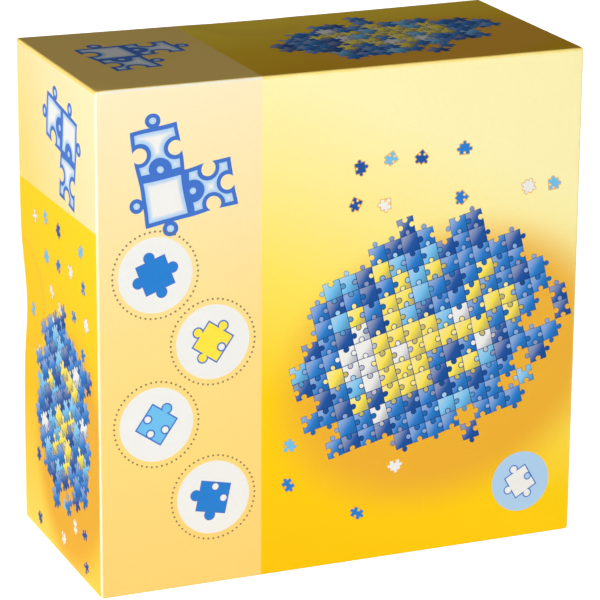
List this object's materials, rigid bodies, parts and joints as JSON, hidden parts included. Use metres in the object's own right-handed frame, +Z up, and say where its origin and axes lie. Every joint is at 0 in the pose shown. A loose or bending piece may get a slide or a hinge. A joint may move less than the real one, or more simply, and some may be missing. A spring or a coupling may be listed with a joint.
{
  "type": "jigsaw puzzle sorter",
  "caption": "Stack of nesting jigsaw-shaped sorting trays, turned half round in turn, in a printed square carton with a full-depth lift-off lid.",
  "frame": {"origin": "middle of the lower narrow side that the carton stands on", "axes": "+X to the right seen from the lid's face, +Y from the lid's face to the base's back, +Z up"},
  "size_m": [0.27, 0.127, 0.27],
  "materials": {
    "greyboard": "raw recycled greyboard, matt and flecked",
    "lid_print": "printed wrap paper, satin varnish",
    "base_print": "printed wrap paper, satin varnish",
    "stay_tape": "gummed kraft paper tape, matt",
    "tray_plastic": "moulded polystyrene with a fine satin grain"
  },
  "bodies": {
    "base": {"base_board": "greyboard", "base_wrap": "base_print", "base_corner_tapes": "stay_tape"},
    "tray_8": {"tray_8": "tray_plastic"},
    "tray_7": {"tray_7": "tray_plastic"},
    "tray_6": {"tray_6": "tray_plastic"},
    "tray_5": {"tray_5": "tray_plastic"},
    "tray_4": {"tray_4": "tray_plastic"},
    "tray_3": {"tray_3": "tray_plastic"},
    "tray_2": {"tray_2": "tray_plastic"},
    "tray_1": {"tray_1": "tray_plastic"},
    "lid": {"lid_board": "greyboard", "lid_wrap": "lid_print", "lid_corner_tapes": "stay_tape"}
  },
  "joints": [
    {"name": "tray_8_lift", "type": "slide", "parent": "base", "child": "tray_8", "axis": [0, -1, 0], "range_m": [0, 0.13]},
    {"name": "tray_7_lift", "type": "slide", "parent": "tray_8", "child": "tray_7", "axis": [0, -1, 0], "range_m": [0, 0.116]},
    {"name": "tray_6_lift", "type": "slide", "parent": "tray_7", "child": "tray_6", "axis": [0, -1, 0], "range_m": [0, 0.103]},
    {"name": "tray_5_lift", "type": "slide", "parent": "tray_6", "child": "tray_5", "axis": [0, -1, 0], "range_m": [0, 0.089]},
    {"name": "tray_4_lift", "type": "slide", "parent": "tray_5", "child": "tray_4", "axis": [0, -1, 0], "range_m": [0, 0.076]},
    {"name": "tray_3_lift", "type": "slide", "parent": "tray_4", "child": "tray_3", "axis": [0, -1, 0], "range_m": [0, 0.063]},
    {"name": "tray_2_lift", "type": "slide", "parent": "tray_3", "child": "tray_2", "axis": [0, -1, 0], "range_m": [0, 0.049]},
    {"name": "tray_1_lift", "type": "slide", "parent": "tray_2", "child": "tray_1", "axis": [0, -1, 0], "range_m": [0, 0.036]},
    {"name": "lid_lift", "type": "slide", "parent": "tray_1", "child": "lid", "axis": [0, -1, 0], "range_m": [0, 0.135]}
  ]
}
